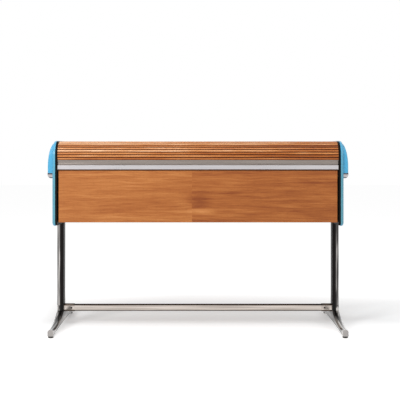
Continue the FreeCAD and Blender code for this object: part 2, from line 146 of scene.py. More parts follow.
def ramp(tree, value, stops):
    """A colour ramp through (position, colour) stops."""
    node = add_node(tree, "ShaderNodeValToRGB", Fac=value)
    points = node.color_ramp.elements
    while len(points) < len(stops):
        points.new(0.5)
    for point, (position, colour) in zip(points, stops):
        point.position = position
        point.color = (*colour, 1.0)
    return node.outputs["Color"]


def blend(tree, amount, base, over, mode="MIX"):
    """Lay a plain colour over another by an amount."""
    node = add_node(tree, "ShaderNodeMix", {"data_type": "RGBA", "blend_type": mode}, Factor=amount)
    tree.links.new(base, node.inputs[6])
    node.inputs[7].default_value = (*over, 1.0)
    return node.outputs[2]


def bump(tree, height, strength, distance):
    """A normal that is tilted by a height."""
    node = add_node(tree, "ShaderNodeBump", Height=height, Strength=strength, Distance=distance)
    return node.outputs["Normal"]


print("helpers for values and colours are ready")

# %% [markdown]
# ## Wood grain, as one group
# Veneer shows three things at once: broad bands from the growth rings, fine fibre lines along the board,
# and short dark pores. A wave texture could draw the rings, but its lines are too even. All three run along
# the desk, so each is noise that is stretched along X. They share a group, because the panel, the slats and
# the lining are the same kind of wood in different tones.

# %% The wood grain group
SWAY_SCALE = 2.2
SWAY_REACH = (0.0, 0.018, 0.018)
RING_STRETCH = (1.6, 34.0, 34.0)
FIBRE_STRETCH = (14.0, 300.0, 300.0)
STREAK_STRETCH = (6.0, 110.0, 110.0)
PORE_STRETCH = (55.0, 900.0, 900.0)
STREAK_SHARE = 0.70
FIBRE_SHARE = 0.30
FIBRE_RELIEF = 0.5
PORE_EDGE = (0.60, 0.70)


def make_wood_grain():
    group, given, made = new_group(
        "wood_grain", {"Place": "NodeSocketVector", "Bands": "NodeSocketFloat"},
        {"Tone": "NodeSocketFloat", "Pores": "NodeSocketFloat", "Height": "NodeSocketFloat"})
    place = given.outputs["Place"]
    sway = add_node(group, "ShaderNodeTexNoise", Vector=place, Scale=SWAY_SCALE, Detail=2.0)
    bend = add_node(group, "ShaderNodeVectorMath", {"operation": "MULTIPLY"})
    fill(group, bend.inputs[0], sway.outputs["Color"])
    fill(group, bend.inputs[1], SWAY_REACH)
    bent = add_node(group, "ShaderNodeVectorMath", {"operation": "ADD"})
    fill(group, bent.inputs[0], place)
    fill(group, bent.inputs[1], bend.outputs["Vector"])
    flowing = bent.outputs["Vector"]
    rings = stretched_noise(group, flowing, RING_STRETCH, detail=3.0)
    fibres = stretched_noise(group, flowing, FIBRE_STRETCH, detail=3.0)
    streaks = stretched_noise(group, flowing, STREAK_STRETCH, detail=4.0, roughness=0.6)
    mixed = arithmetic(group, "MULTIPLY", rings, given.outputs["Bands"])
    mixed = arithmetic(group, "ADD", mixed, arithmetic(group, "MULTIPLY", streaks, STREAK_SHARE))
    mixed = arithmetic(group, "ADD", mixed, arithmetic(group, "MULTIPLY", fibres, FIBRE_SHARE))
    total = arithmetic(group, "ADD", given.outputs["Bands"], STREAK_SHARE + FIBRE_SHARE)
    group.links.new(arithmetic(group, "DIVIDE", mixed, total), made.inputs["Tone"])
    specks = stretched_noise(group, place, PORE_STRETCH, detail=1.0)
    pores = remap(group, specks, *PORE_EDGE, 0.0, 1.0)
    group.links.new(pores, made.inputs["Pores"])
    relief = arithmetic(group, "MULTIPLY", fibres, FIBRE_RELIEF)
    group.links.new(arithmetic(group, "SUBTRACT", relief, pores), made.inputs["Height"])
    return group


wood_grain = make_wood_grain()
print("group:", wood_grain.name)

# %% [markdown]
# ## Handling marks, as one group
# No smooth surface is evenly smooth: hands and cloths leave soft patches and a fine haze. A single
# roughness would look like new plastic. The group puts out one value around 0.5, and each finish lets it
# carry its roughness from smooth to dull, so metal, enamel and laminate age in the same way.

# %% The handling marks group
PATCH_STRETCH = (6.0, 6.0, 6.0)
SCUFF_STRETCH = (40.0, 160.0, 160.0)
PATCH_SHARE = 0.6
SCUFF_SHARE = 0.4
HAZE_RANGE = (0.3, 0.7)


def make_handling_marks():
    group, given, made = new_group(
        "handling_marks", {"Place": "NodeSocketVector"}, {"Haze": "NodeSocketFloat"})
    place = given.outputs["Place"]
    patches = stretched_noise(group, place, PATCH_STRETCH, detail=3.0)
    scuffs = stretched_noise(group, place, SCUFF_STRETCH, detail=5.0, roughness=0.7)
    haze = arithmetic(group, "ADD", arithmetic(group, "MULTIPLY", patches, PATCH_SHARE),
                      arithmetic(group, "MULTIPLY", scuffs, SCUFF_SHARE))
    group.links.new(haze, made.inputs["Haze"])
    return group


def age(tree, shader, place, smooth, dull):
    """Let the handling marks carry a finish's roughness from smooth to dull."""
    haze = use_group(tree, handling_marks, Place=place).outputs["Haze"]
    tree.links.new(remap(tree, haze, *HAZE_RANGE, smooth, dull), shader.inputs["Roughness"])


handling_marks = make_handling_marks()
print("group:", handling_marks.name)

# %% [markdown]
# ## How the veneer is laid
# A veneered panel isn't one picture of wood. The front shows two leaves that meet near the middle, the
# right one darker, with a knotty patch and a pale flame beside the seam, and painted shade darkens the panel
# towards the right. Two materials could do it, but the panel is one piece, so a group tells the grain where
# it is: where to read the grain and how far to shift its tone. A third output, for painted shade in the
# grooves, is there for the slats and stays at nought here.

# %% The veneer layout group
LAYOUT_OUTPUTS = {"Cut": "NodeSocketVector", "Shift": "NodeSocketFloat", "GrooveShade": "NodeSocketFloat"}
DESK_SIDES = (-0.77, 0.77)
SEAM_X = -0.033
LEAF_STEP = (3.1, 0.0, 0.37)
LEAF_TONE = -0.03
PANEL_SIDE_SHADE = (0.02, -0.06)
KNOT_PLACE = (0.012, 0.748)
KNOT_REACH = (0.085, 0.060)
KNOT_TONE = -0.20
FLAME_PLACE = (0.015, 0.682)
FLAME_REACH = (0.095, 0.022)
FLAME_TONE = 0.20


def soft_patch(tree, place, centre, reach):
    """One at a point of the panel, falling to nought over its reach in x and z."""
    scale = (1.0 / reach[0], 0.0, 1.0 / reach[1])
    shift = (-centre[0] * scale[0], 0.0, -centre[1] * scale[2])
    mapped = add_node(tree, "ShaderNodeMapping", Vector=place, Location=shift, Scale=scale)
    ball = add_node(tree, "ShaderNodeTexGradient", {"gradient_type": "SPHERICAL"},
                    Vector=mapped.outputs["Vector"])
    return ball.outputs["Fac"]


def moved(tree, place, amount, steps):
    """A place carried along by an amount of three steps."""
    step = add_node(tree, "ShaderNodeCombineXYZ")
    for socket, length in zip(step.inputs, steps):
        tree.links.new(arithmetic(tree, "MULTIPLY", amount, length), socket)
    total = add_node(tree, "ShaderNodeVectorMath", {"operation": "ADD"})
    fill(tree, total.inputs[0], place)
    fill(tree, total.inputs[1], step.outputs["Vector"])
    return total.outputs["Vector"]


def make_veneer_layout():
    group, given, made = new_group("veneer_layout", {"Place": "NodeSocketVector"}, LAYOUT_OUTPUTS)
    place = given.outputs["Place"]
    along = axes_of(group, place)["X"]
    leaf = arithmetic(group, "GREATER_THAN", along, SEAM_X)
    group.links.new(moved(group, place, leaf, LEAF_STEP), made.inputs["Cut"])
    knot = soft_patch(group, place, KNOT_PLACE, KNOT_REACH)
    flame = soft_patch(group, place, FLAME_PLACE, FLAME_REACH)
    # Painted shade: the panel darkens towards the right.
    shift = remap(group, along, *DESK_SIDES, *PANEL_SIDE_SHADE)
    for mark, tone in ((leaf, LEAF_TONE), (knot, KNOT_TONE), (flame, FLAME_TONE)):
        shift = arithmetic(group, "ADD", shift, arithmetic(group, "MULTIPLY", mark, tone))
    group.links.new(shift, made.inputs["Shift"])
    return group


veneer_layout = make_veneer_layout()
print("group:", veneer_layout.name)

# %% [markdown]
# ## How the slats are cut
# The tambour is cut into slats: each has its own tone and its own piece of grain. Painted shade darkens the
# slats towards the right and row by row down the nose, and more painted shade lies in the grooves between
# them, random in strength and fainter on the top slats. A material for each slat would mean dozens of them.
# The group counts the slats instead, by the angle round the nose and by the distance along the flat run, and
# draws one random number for each. Its outputs are those of the veneer layout, so either can feed the same
# wood.

# %% The slat layout group
NOSE_CENTRE = (-0.221, 0.991)
SLAT_TURN = math.radians(10.8)
SLAT_PITCH = 0.013175
SLAT_STEP = (7.0, 3.0, 5.0)
SLAT_SIDE_SHADE = (0.04, -0.08)
SLAT_TONES = (-0.10, 0.10)
NOSE_ROWS = (1.0, 9.0)
NOSE_ROW_SHADE = (0.07, -0.06)
GROOVE_EDGE = (0.20, 0.34)
GROOVE_SHADE_DRAWS = (0.70, 1.0)
GROOVE_SHADE_ROWS = (1.5, 4.5)
GROOVE_SHADE_RISE = (0.15, 1.0)


def count_slats(tree, axes):
    """How many slats lie between the start of the nose and a place, with its share of a slat."""
    ahead = arithmetic(tree, "SUBTRACT", NOSE_CENTRE[0], axes["Y"])
    above = arithmetic(tree, "SUBTRACT", axes["Z"], NOSE_CENTRE[1])
    turned = arithmetic(tree, "DIVIDE", arithmetic(tree, "ARCTAN2", ahead, above), SLAT_TURN)
    straight = arithmetic(tree, "DIVIDE", ahead, SLAT_PITCH)
    on_nose = arithmetic(tree, "GREATER_THAN", ahead, 0.0)
    return add_node(tree, "ShaderNodeMix", Factor=on_nose, A=straight, B=turned).outputs["Result"]


def make_slat_layout():
    group, given, made = new_group("slat_layout", {"Place": "NodeSocketVector"}, LAYOUT_OUTPUTS)
    place = given.outputs["Place"]
    axes = axes_of(group, place)
    slats = count_slats(group, axes)
    random = add_node(group, "ShaderNodeTexWhiteNoise", {"noise_dimensions": "1D"},
                      W=arithmetic(group, "FLOOR", slats))
    draw = random.outputs["Value"]
    second_draw = add_node(group, "ShaderNodeSeparateColor", Color=random.outputs["Color"]).outputs["Green"]
    group.links.new(moved(group, place, draw, SLAT_STEP), made.inputs["Cut"])
    # Painted shade: darker towards the right side, and darker row by row down the nose.
    shift = remap(group, axes["X"], *DESK_SIDES, *SLAT_SIDE_SHADE)
    shift = arithmetic(group, "ADD", shift, remap(group, draw, 0.0, 1.0, *SLAT_TONES))
    shift = arithmetic(group, "ADD", shift, remap(group, slats, *NOSE_ROWS, *NOSE_ROW_SHADE))
    group.links.new(shift, made.inputs["Shift"])
    # Painted shade in the grooves, random in strength from slat to slat and fainter on the top slats.
    middle = arithmetic(group, "SUBTRACT", arithmetic(group, "FRACT", slats), 0.5)
    groove = remap(group, arithmetic(group, "ABSOLUTE", middle), *GROOVE_EDGE, 0.0, 1.0)
    amount = remap(group, second_draw, 0.0, 1.0, *GROOVE_SHADE_DRAWS)
    amount = arithmetic(group, "MULTIPLY", amount, remap(group, slats, *GROOVE_SHADE_ROWS, *GROOVE_SHADE_RISE))
    group.links.new(arithmetic(group, "MULTIPLY", groove, amount), made.inputs["GrooveShade"])
    return group


slat_layout = make_slat_layout()
print("group:", slat_layout.name)

# %% [markdown]
# ## Walnut
# The panel, the slats and the rear top are oiled walnut, warm and fairly red. A photograph of veneer could
# be laid on, but it would repeat and have no depth. Here the tone from the grain group goes through a
# colour ramp, and the pores darken it, together with the painted shade that a layout puts in the grooves.
# The slats get stronger bands, because each slat was cut from another place in the board, and a lining of
# plainer wood serves inside the case.

# %% Walnut finishes
PORE_AND_SHADE_TINT = (0.17, 0.055, 0.02)
PORE_SHARE = 0.35
GLOSS_SPREAD = (-0.07, 0.09)
GRAIN_BUMP = (0.25, 0.0003)


def make_wood(name, layout, bands, gloss, shine, stops):
    material, tree, shader, place = new_material(name, Specular_IOR_Level=shine)
    laid = use_group(tree, layout, Place=place)
    grain = use_group(tree, wood_grain, Place=laid.outputs["Cut"], Bands=bands)
    tone = arithmetic(tree, "ADD", grain.outputs["Tone"], laid.outputs["Shift"])
    colour = ramp(tree, tone, stops)
    pores = arithmetic(tree, "MULTIPLY", grain.outputs["Pores"], PORE_SHARE)
    # The pores' real darkening and the layout's painted groove shade share one tint.
    pores_and_shade = arithmetic(tree, "MAXIMUM", pores, laid.outputs["GrooveShade"])
    tree.links.new(blend(tree, pores_and_shade, colour, PORE_AND_SHADE_TINT, "MULTIPLY"), shader.inputs["Base Color"])
    age(tree, shader, place, *(gloss + spread for spread in GLOSS_SPREAD))
    tree.links.new(bump(tree, grain.outputs["Height"], *GRAIN_BUMP), shader.inputs["Normal"])
    return material


panel_walnut = make_wood("panel_walnut", veneer_layout, bands=0.6, gloss=0.42, shine=0.25, stops=[
    (0.30, (0.240, 0.060, 0.013)), (0.44, (0.370, 0.114, 0.026)),
    (0.56, (0.470, 0.169, 0.044)), (0.72, (0.610, 0.255, 0.085))])
slat_walnut = make_wood("slat_walnut", slat_layout, bands=1.2, gloss=0.34, shine=0.25, stops=[
    (0.30, (0.285, 0.068, 0.010)), (0.42, (0.450, 0.136, 0.026)),
    (0.54, (0.645, 0.262, 0.082)), (0.68, (0.900, 0.550, 0.320))])
lining_wood = make_wood("lining_wood", veneer_layout, bands=0.8, gloss=0.5, shine=0.3, stops=[
    (0.30, (0.150, 0.060, 0.024)), (0.55, (0.240, 0.105, 0.045)),
    (0.75, (0.330, 0.160, 0.075)), (0.90, (0.380, 0.190, 0.095))])
print("woods:", panel_walnut.name, slat_walnut.name, lining_wood.name)

# %% [markdown]
# ## Enamel
# The end panels and their hoods are castings under a semi-gloss sky-blue enamel. Enamel is a coloured coat
# with a clear skin, so the shader's coat does the shine, where lower roughness alone would look wet. A fine
# orange-peel bump breaks the reflections a little. Painted shade makes the front edges of the end panels
# duller and greyer, most of all below the bright hoods, and a mask by place is enough for that.

# %% Enamel
CLOUD_STRETCH = (3.0, 3.0, 3.0)
CLOUD_EDGE = (0.35, 0.65)
FRONT_SHADE_EDGE = (-0.303, -0.294)
FRONT_SHADE_LEVEL = (0.86, 0.95)
FRONT_SHADE_ABOVE = 0.45
ENAMEL_ROUGHNESS = (0.26, 0.40)
PEEL_STRETCH = (220.0, 220.0, 220.0)
PEEL_BUMP = (0.05, 0.0002)


def make_enamel(name, deep, light, front_shade):
    material, tree, shader, place = new_material(name, Coat_Weight=0.35, Coat_Roughness=0.22)
    cloud = stretched_noise(tree, place, CLOUD_STRETCH, detail=2.0)
    enamel = ramp(tree, cloud, list(zip(CLOUD_EDGE, (deep, light))))
    axes = axes_of(tree, place)
    # Painted shade: the front edges of the end panels are greyer, most of all low down.
    edge = remap(tree, axes["Y"], *FRONT_SHADE_EDGE, 1.0, 0.0)
    painted_front_shade = arithmetic(tree, "MULTIPLY", edge, remap(tree, axes["Z"], *FRONT_SHADE_LEVEL, 1.0, FRONT_SHADE_ABOVE))
    tree.links.new(blend(tree, painted_front_shade, enamel, front_shade), shader.inputs["Base Color"])
    age(tree, shader, place, *ENAMEL_ROUGHNESS)
    peel = stretched_noise(tree, place, PEEL_STRETCH, detail=1.0)
    tree.links.new(bump(tree, peel, *PEEL_BUMP), shader.inputs["Normal"])
    return material


blue_enamel = make_enamel(
    "blue_enamel", deep=(0.052, 0.355, 0.595), light=(0.070, 0.405, 0.640), front_shade=(0.084, 0.300, 0.385))
print("enamel:", blue_enamel.name)

# %% [markdown]
# ## Metals
# Three metals get the same treatment: the leg covers are polished cast aluminium, the trims are aluminium
# brushed along the desk, satin at the front edge and, as painted shade, darker grey on the pull rail, and
# the leg bolts are chromed. A plain metal shader would look like a mirror. Polish clouds over in long
# streaks, so the tone runs from dim to bright on noise that is stretched along the buffing, and finer noise
# of the same kind goes into the bump.

# %% Metals
METAL_EDGE = (0.45, 0.64)
METAL_CLOUDS = 0.5
LINE_STRENGTH = 0.15


def make_metal(name, dim, bright, smooth, dull, stretch, depth):
    material, tree, shader, place = new_material(name, Metallic=1.0)
    cloud = stretched_noise(tree, place, [METAL_CLOUDS * step for step in stretch], detail=2.0)
    tree.links.new(ramp(tree, cloud, list(zip(METAL_EDGE, (dim, bright)))), shader.inputs["Base Color"])
    age(tree, shader, place, smooth, dull)
    lines = stretched_noise(tree, place, stretch, detail=3.0)
    tree.links.new(bump(tree, lines, LINE_STRENGTH, depth), shader.inputs["Normal"])
    return material


polished_aluminium = make_metal(
    "polished_aluminium", dim=(0.06, 0.057, 0.056), bright=(0.36, 0.343, 0.33), smooth=0.05, dull=0.12,
    stretch=(130.0, 8.0, 8.0), depth=0.00005)
satin_aluminium = make_metal(
    "satin_aluminium", dim=(0.52, 0.50, 0.51), bright=(0.58, 0.56, 0.57), smooth=0.24, dull=0.34,
    stretch=(8.0, 900.0, 900.0), depth=0.00005)
# Painted shade: the pull rail's aluminium is a darker copy of the trim's satin aluminium.
grey_aluminium = make_metal(
    "grey_aluminium", dim=(0.22, 0.19, 0.17), bright=(0.26, 0.23, 0.21), smooth=0.26, dull=0.36,
    stretch=(8.0, 900.0, 900.0), depth=0.00005)
chrome = make_metal(
    "chrome", dim=(0.40, 0.355, 0.325), bright=(0.58, 0.53, 0.49), smooth=0.05, dull=0.12,
    stretch=(6.0, 300.0, 300.0), depth=0.0001)
print("metals:", polished_aluminium.name, satin_aluminium.name, grey_aluminium.name, chrome.name)

# %% [markdown]
# ## Foot castings
# The feet are polished like the leg covers, but their streaks run along the arms and are more sharply dark
# and bright, as a small mirror shows them. A painted dark reflection makes the inner side of each foot near
# black below the uprights, and a painted highlight keeps the tips of the arms evenly bright. Each could be a
# piece of its own, but a casting has no seams there, so all this is one finish with masks by place.

# %% Foot castings
FOOT_STREAKS = (75.0, 3.0, 18.0)
FOOT_EDGE = (0.46, 0.58)
INNER_SHADE_EDGE = (0.801, 0.804)
INNER_SHADE_FOOT = (0.050, 0.070)
TIP_HIGHLIGHT = (0.355, 0.366)
BUFFED_ROUGHNESS = (0.06, 0.14)


def make_foot_casting(name, dim, bright, tip, lacquer):
    material, tree, shader, place = new_material(name, Specular_IOR_Level=0.10)
    cloud = stretched_noise(tree, place, FOOT_STREAKS, detail=2.0)
    polish = ramp(tree, cloud, list(zip(FOOT_EDGE, (dim, bright))))
    axes = axes_of(tree, place)
    reach = arithmetic(tree, "ABSOLUTE", axes["Y"])
    # Painted highlight: the tips of the arms are evenly bright, with no streaks.
    polish = blend(tree, remap(tree, reach, *TIP_HIGHLIGHT, 0.0, 1.0), polish, tip)
    # Painted dark reflection: near black and not metallic on the inner side of the foot, below the uprights.
    inner = remap(tree, arithmetic(tree, "ABSOLUTE", axes["X"]), *INNER_SHADE_EDGE, 1.0, 0.0)
    painted_inner_shade = arithmetic(tree, "MULTIPLY", inner, remap(tree, axes["Z"], *INNER_SHADE_FOOT, 0.0, 1.0))
    tree.links.new(blend(tree, painted_inner_shade, polish, lacquer), shader.inputs["Base Color"])
    tree.links.new(remap(tree, painted_inner_shade, 0.0, 1.0, 1.0, 0.0), shader.inputs["Metallic"])
    age(tree, shader, place, *BUFFED_ROUGHNESS)
    return material


foot_casting = make_foot_casting(
    "foot_casting", dim=(0.030, 0.028, 0.027), bright=(0.44, 0.42, 0.40), tip=(0.31, 0.295, 0.285),
    lacquer=(0.006, 0.005, 0.005))
print("casting:", foot_casting.name)

# %% [markdown]
# ## Bright metal between dark edges
# The footrest has a flat bright face between a rounded top and a rounded bottom, and each hood's foot has a
# bright face above its lower edge. The roundings get painted shade and dark reflection, which draws thin
# dark lines. Lines modelled as pieces would be too crisp, so the painted shade is a mask by height, and the
# bright face has long faint streaks.

# %% Banded metals
BAR_LEVEL = 0.103
BAR_FACE = (0.0115, 0.0145)
HOOD_FOOT_LEVEL = 0.880
HOOD_FOOT_FACE = (0.0060, 0.0090)
BAND_EDGE = (0.40, 0.64)


def make_banded_metal(name, level, face, dim, bright, edge_shade, stretch):
    """Metal that is bright within a face's half height of a level, and painted dark beyond, as shade."""
    material, tree, shader, place = new_material(name, Metallic=1.0)
    cloud = stretched_noise(tree, place, stretch, detail=2.0)
    polish = ramp(tree, cloud, list(zip(BAND_EDGE, (dim, bright))))
    height = axes_of(tree, place)["Z"]
    away = arithmetic(tree, "ABSOLUTE", arithmetic(tree, "SUBTRACT", height, level))
    # Painted shade and dark reflection on the roundings, beyond the bright face.
    beyond = remap(tree, away, *face, 0.0, 1.0)
    tree.links.new(blend(tree, beyond, polish, edge_shade), shader.inputs["Base Color"])
    age(tree, shader, place, *BUFFED_ROUGHNESS)
    return material


footrest_chrome = make_banded_metal(
    "footrest_chrome", BAR_LEVEL, BAR_FACE, dim=(0.36, 0.32, 0.29), bright=(0.54, 0.49, 0.45),
    edge_shade=(0.08, 0.060, 0.048), stretch=(3.0, 150.0, 150.0))
hood_foot_metal = make_banded_metal(
    "hood_foot_metal", HOOD_FOOT_LEVEL, HOOD_FOOT_FACE, dim=(0.46, 0.43, 0.44), bright=(0.62, 0.58, 0.58),
    edge_shade=(0.10, 0.10, 0.115), stretch=(150.0, 3.0, 150.0))
print("banded metals:", footrest_chrome.name, hood_foot_metal.name)

# %% [markdown]
# ## Plastic, laminate, lacquer and rubber
# These are the quiet finishes: matte black tracks, a pale laminate on the work surface, the dark lacquer of
# the uprights, whose near black is a painted dark reflection on the inner half of each leg, and rubber
# collars. Each could be one flat colour, but a small break-up in the shine and a fine grain in the bump keep
# it from looking empty at close range.

# %% Quiet finishes
GRAIN_STRENGTH = 0.2


def make_plain(name, colour, shine, smooth, dull, grain, depth):
    material, tree, shader, place = new_material(
        name, Base_Color=(*colour, 1.0), Specular_IOR_Level=shine)
    age(tree, shader, place, smooth, dull)
    texture = stretched_noise(tree, place, (grain, grain, grain), detail=2.0)
    tree.links.new(bump(tree, texture, GRAIN_STRENGTH, depth), shader.inputs["Normal"])
    return material


black_plastic = make_plain(
    "black_plastic", (0.006, 0.005, 0.004), shine=0.06, smooth=0.42, dull=0.58, grain=400.0, depth=0.0002)
white_laminate = make_plain(
    "white_laminate", (0.72, 0.70, 0.66), shine=0.5, smooth=0.30, dull=0.42, grain=300.0, depth=0.0001)
# Painted dark reflection on the uprights: their near black stands for the dark inner half of each leg.
dark_lacquer = make_plain(
    "dark_lacquer", (0.011, 0.009, 0.009), shine=0.06, smooth=0.32, dull=0.46, grain=60.0, depth=0.0001)
rubber = make_plain(
    "rubber", (0.006, 0.006, 0.006), shine=0.08, smooth=0.65, dull=0.80, grain=250.0, depth=0.0003)
print("quiet finishes:", black_plastic.name, white_laminate.name, dark_lacquer.name, rubber.name)

# %% [markdown]
# ## Canvas
# The slats are glued to a strip of canvas, which shows only from inside. Threads could be modelled one by
# one, but at this size two sets of fine waves that cross give the same weave, in colour and in bump.

# %% Canvas
WEAVE_SCALE = 220.0
WEAVE_EDGE = (0.2, 0.8)
WEAVE_BUMP = (0.5, 0.0004)


def make_canvas(name, gap, thread):
    material, tree, shader, place = new_material(name, Roughness=0.9)
    threads = []
    for direction in ("X", "Y"):
        wave = add_node(tree, "ShaderNodeTexWave", {"bands_direction": direction}, Vector=place,
                        Scale=WEAVE_SCALE, Distortion=0.6, Detail=1.0)
        threads.append(wave.outputs["Fac"])
    weave = arithmetic(tree, "MAXIMUM", *threads)
    tree.links.new(ramp(tree, weave, list(zip(WEAVE_EDGE, (gap, thread)))), shader.inputs["Base Color"])
    tree.links.new(bump(tree, weave, *WEAVE_BUMP), shader.inputs["Normal"])
    return material


canvas = make_canvas("canvas", gap=(0.200, 0.150, 0.095), thread=(0.400, 0.320, 0.210))
print("sheet:", canvas.name)

# %% [markdown]
# ## Dressing the solids
# The finishes could be set by hand, piece by piece, but each solid names its finish in the record, so one
# loop does it. A few pieces have their own: the slats get livelier figure than the flat panels, and the
# footrest, the feet and the hoods' feet get the metals made for them.

# %% Finishes onto the solids
FINISHES = {
    "walnut": panel_walnut, "lining_wood": lining_wood, "blue_enamel": blue_enamel,
    "dark_lacquer": dark_lacquer, "polished_aluminium": polished_aluminium,
    "satin_aluminium": satin_aluminium, "grey_aluminium": grey_aluminium, "chrome": chrome,
    "black_plastic": black_plastic, "white_laminate": white_laminate, "canvas": canvas, "rubber": rubber,
}
OWN_FINISHES = {
    "slat": slat_walnut, "footrest": footrest_chrome, "hood_foot": hood_foot_metal,
    "foot_left": foot_casting, "foot_right": foot_casting,
}


def finish_for(part):
    """The piece's own finish, or the one that the record names."""
    for stem, own in OWN_FINISHES.items():
        if stem in part["node"]:
            return own
    return FINISHES[part["material_slot"]]


for part in frame["record"]["subparts"]:
    for slot in nodes[part["node"]].material_slots:
        slot.material = finish_for(part)

# %% [markdown]
# ## Tools for small fittings
# Bolts, glides and screws are too fine for the solids, so they are modelled here as one would by hand:
# start from a short cylinder, pick its cap, inset it and push it along. A profile could be spun instead,
# but then each step of the form would be hidden in a list of points. The helpers below are those few moves.

# %% Blanks and caps
FACE_RIGHT = (0.0, 0.5 * math.pi, 0.0)
FACE_FRONT = (0.5 * math.pi, 0.0, 0.0)
UNMOVED = (0.0, 0.0, 0.0)
CAP_FACING = 0.9


def start_round(name, radius, depth, place, turn=UNMOVED, sides=32):
    """A short cylinder as the blank of a fitting, at its real size and place."""
    bpy.ops.object.select_all(action="DESELECT")
    bpy.ops.mesh.primitive_cylinder_add(
        vertices=sides, radius=radius, depth=depth, location=place, rotation=turn)
    piece = bpy.context.object
    piece.name = name
    bpy.ops.object.transform_apply(location=True, rotation=True, scale=True)
    return piece


def pick_cap(piece, side, level):
    """Go into edit mode with only the cap selected that faces a side, beyond a level along it."""
    bpy.ops.object.mode_set(mode="EDIT")
    bpy.ops.mesh.select_mode(type="FACE")
    bpy.ops.mesh.select_all(action="DESELECT")
    bpy.ops.object.mode_set(mode="OBJECT")
    for face in piece.data.polygons:
        face.select = face.normal.dot(side) > CAP_FACING and face.center.dot(side) > level
    bpy.ops.object.mode_set(mode="EDIT")


def step_in(inset, push):
    """Inset the picked cap, and push it along."""
    bpy.ops.mesh.inset(thickness=inset)
    bpy.ops.transform.translate(value=push)


print("tools for blanks and caps are ready")

# %% [markdown]
# ## Rounding, sockets and copies
# A real fitting has no knife edges, so an applied bevel rounds them, and the hexagonal sockets are cut by
# an applied boolean. A fitting is modelled once where it belongs. Its copies have their own mesh, and are
# shifted or turned half round about the middle of the desk, where a mirrored copy would come out inside
# out.

# %% Finishing tools
HALF_TURN = (0.0, 0.0, math.pi)
ROUNDING_STEPS = 2
ROUNDED_ABOVE = math.radians(40)
SMOOTH_BELOW = math.radians(35)
SOCKET_SIDES = 6


def round_off(piece, width):
    """Round all sharp edges with an applied bevel, and shade what is left as smooth."""
    bpy.ops.object.mode_set(mode="OBJECT")
    bevel = piece.modifiers.new("rounding", "BEVEL")
    bevel.width = width
    bevel.segments = ROUNDING_STEPS
    bevel.limit_method = "ANGLE"
    bevel.angle_limit = ROUNDED_ABOVE
    bpy.ops.object.modifier_apply(modifier=bevel.name)
    bpy.ops.object.shade_smooth_by_angle(angle=SMOOTH_BELOW)


def cut_socket(piece, radius, depth, place, turn):
    """Sink a hexagonal socket with an applied boolean."""
    cutter = start_round("socket_cutter", radius, depth, place, turn, sides=SOCKET_SIDES)
    bpy.context.view_layer.objects.active = piece
    socket = piece.modifiers.new("socket", "BOOLEAN")
    socket.operation = "DIFFERENCE"
    socket.object = cutter
    bpy.ops.object.modifier_apply(modifier=socket.name)
    bpy.data.objects.remove(cutter)


def copy_piece(piece, name, shift=UNMOVED, turn=UNMOVED):
    """A copy with its own mesh, moved or turned about the middle of the desk."""
    bpy.ops.object.select_all(action="DESELECT")
    piece.select_set(True)
    bpy.context.view_layer.objects.active = piece
    bpy.ops.object.duplicate(linked=False)
    copy = bpy.context.object
    copy.name = name
    copy.location = shift
    copy.rotation_euler = turn
    bpy.ops.object.transform_apply(location=True, rotation=True, scale=True)
    return copy


def settle(piece, finish, slot, *stands_for):
    """Give a fitting its finish, and let it ride on the frame."""
    piece.data.materials.append(finish)
    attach(piece, "frame")
    if stands_for:
        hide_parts(*stands_for)


print("finishing tools are ready")

# %% [markdown]
# ## Leg bolts
# Two bolts go through each leg into the end panel, with domed heads on thin washers and hexagonal sockets.
# Washer and head could be two pieces, but one blank is enough: the washer is the cylinder itself, its cap
# is inset and extruded to make the head, and two more insets raise the dome. The socket is cut last, so
# that the dome's rounding doesn't run into it.

# %% Leg bolts
LEG_FACE = 0.820
BOLT_LEVEL = 0.690
BOLT_PITCH = 0.090
WASHER_RADIUS = 0.0095
WASHER_HEIGHT = 0.0012
WASHER_RIM = 0.0022
HEAD_HEIGHT = 0.0022
DOME_INSETS = (0.0016, 0.0018)
DOME_RISES = (0.0010, 0.0004)
BOLT_TOP = LEG_FACE + (WASHER_HEIGHT + HEAD_HEIGHT + sum(DOME_RISES))
BOLT_ROUNDING = 0.0004
BOLT_SOCKET = {"radius": 0.0034, "depth": 0.0040}


def make_leg_bolt():
    middle = (LEG_FACE + 0.5 * WASHER_HEIGHT, 0.0, BOLT_LEVEL)
    bolt = start_round("leg_bolt_right_low", WASHER_RADIUS, WASHER_HEIGHT, middle, FACE_RIGHT)
    pick_cap(bolt, Vector((1.0, 0.0, 0.0)), LEG_FACE)
    bpy.ops.mesh.inset(thickness=WASHER_RIM)
    bpy.ops.mesh.extrude_region_move(TRANSFORM_OT_translate={"value": (HEAD_HEIGHT, 0.0, 0.0)})
    for inset, rise in zip(DOME_INSETS, DOME_RISES):
        step_in(inset, (rise, 0.0, 0.0))
    round_off(bolt, BOLT_ROUNDING)
    cut_socket(bolt, place=(BOLT_TOP, 0.0, BOLT_LEVEL), turn=FACE_RIGHT, **BOLT_SOCKET)
    return bolt


leg_bolts = {"leg_bolt_right_low": make_leg_bolt()}
leg_bolts["leg_bolt_right_high"] = copy_piece(
    leg_bolts["leg_bolt_right_low"], "leg_bolt_right_high", (0.0, 0.0, BOLT_PITCH))
for row in ("low", "high"):
    leg_bolts[f"leg_bolt_left_{row}"] = copy_piece(
        leg_bolts[f"leg_bolt_right_{row}"], f"leg_bolt_left_{row}", turn=HALF_TURN)
for name, bolt in leg_bolts.items():
    settle(bolt, chrome, "chrome", "leg_bolts_right" if "right" in name else "leg_bolts_left")
print("leg bolts:", len(leg_bolts), "with", len(bolt.data.polygons), "faces each")

